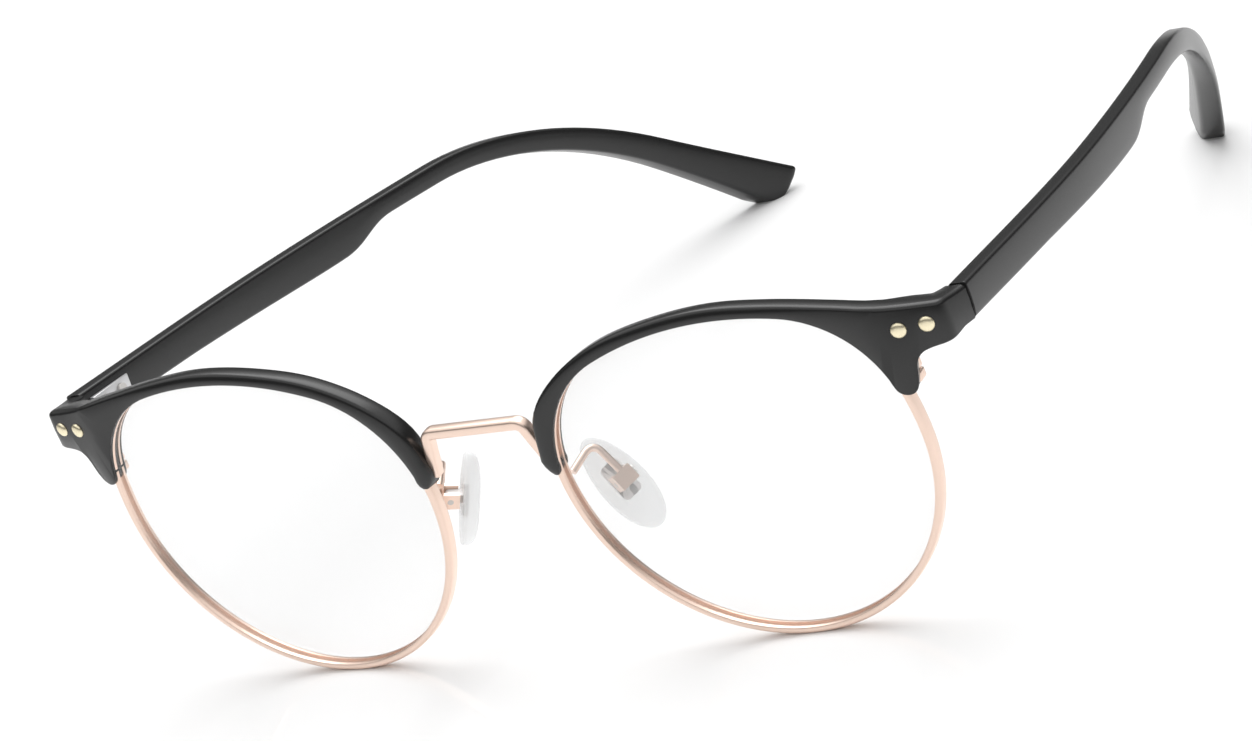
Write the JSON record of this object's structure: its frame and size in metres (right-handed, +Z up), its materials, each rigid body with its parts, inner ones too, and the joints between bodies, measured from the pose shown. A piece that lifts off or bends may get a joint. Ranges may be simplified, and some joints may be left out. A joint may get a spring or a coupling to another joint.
{
  "type": "half rim eyeglasses",
  "caption": "Browline eyeglasses: round clear lenses in thin gold rims under black plastic brows, with folding temples and rocking clear nose pads.",
  "frame": {"origin": "on the floor under the middle of the bounding box, with the glasses standing on both rims and both temple tips", "axes": "+X the wearer's left, +Y back along the temples, +Z up"},
  "size_m": [0.139, 0.1376, 0.0463],
  "materials": {
    "black_frame": "polished black plastic",
    "rose_gold_rim": "polished rose gold plating",
    "gold_rivet": "polished pale gold",
    "silver_hinge": "satin nickel",
    "steel_screw": "bright steel",
    "core_wire": "drawn wire, hidden inside the temple",
    "clear_lens": "clear coated demo lens",
    "clear_pad": "clear silicone",
    "clear_insert": "clear moulded plastic"
  },
  "bodies": {
    "front": {"bridge": "rose_gold_rim", "left_rim": "rose_gold_rim", "left_lens": "clear_lens", "left_brow": "black_frame", "left_rivets": "gold_rivet", "left_closing_block_lower": "rose_gold_rim", "left_closing_block_upper": "rose_gold_rim", "left_closing_screw": "steel_screw", "left_pad_arm": "rose_gold_rim", "left_pad_box": "rose_gold_rim", "left_pad_screw": "steel_screw", "left_front_hinge": "silver_hinge", "left_hinge_screw": "steel_screw", "right_rim": "rose_gold_rim", "right_lens": "clear_lens", "right_brow": "black_frame", "right_rivets": "gold_rivet", "right_closing_block_lower": "rose_gold_rim", "right_closing_block_upper": "rose_gold_rim", "right_closing_screw": "steel_screw", "right_pad_arm": "rose_gold_rim", "right_pad_box": "rose_gold_rim", "right_pad_screw": "steel_screw", "right_front_hinge": "silver_hinge", "right_hinge_screw": "steel_screw"},
    "left_temple": {"left_temple": "black_frame", "left_temple_hinge": "silver_hinge", "left_temple_core": "core_wire", "left_temple_pins": "steel_screw"},
    "right_temple": {"right_temple": "black_frame", "right_temple_hinge": "silver_hinge", "right_temple_core": "core_wire", "right_temple_pins": "steel_screw"},
    "left_pad": {"left_nose_pad": "clear_pad", "left_pad_insert": "clear_insert"},
    "right_pad": {"right_nose_pad": "clear_pad", "right_pad_insert": "clear_insert"}
  },
  "joints": [
    {"name": "left_temple_hinge", "type": "hinge", "parent": "front", "child": "left_temple", "pos_m": [0.0648, -0.05828, 0.03886], "axis": [0, 0.0998, 0.995], "range_deg": [0, 78]},
    {"name": "right_temple_hinge", "type": "hinge", "parent": "front", "child": "right_temple", "pos_m": [-0.0648, -0.05828, 0.03886], "axis": [0, -0.0998, -0.995], "range_deg": [0, 71]},
    {"name": "left_pad_tilt", "type": "hinge", "parent": "front", "child": "left_pad", "pos_m": [0.01356, -0.06057, 0.02152], "axis": [-0.515, -0.8189, -0.2533], "range_deg": [-10, 10]},
    {"name": "right_pad_tilt", "type": "hinge", "parent": "front", "child": "right_pad", "pos_m": [-0.01356, -0.06057, 0.02152], "axis": [0.515, -0.8189, -0.2533], "range_deg": [-10, 10]}
  ]
}
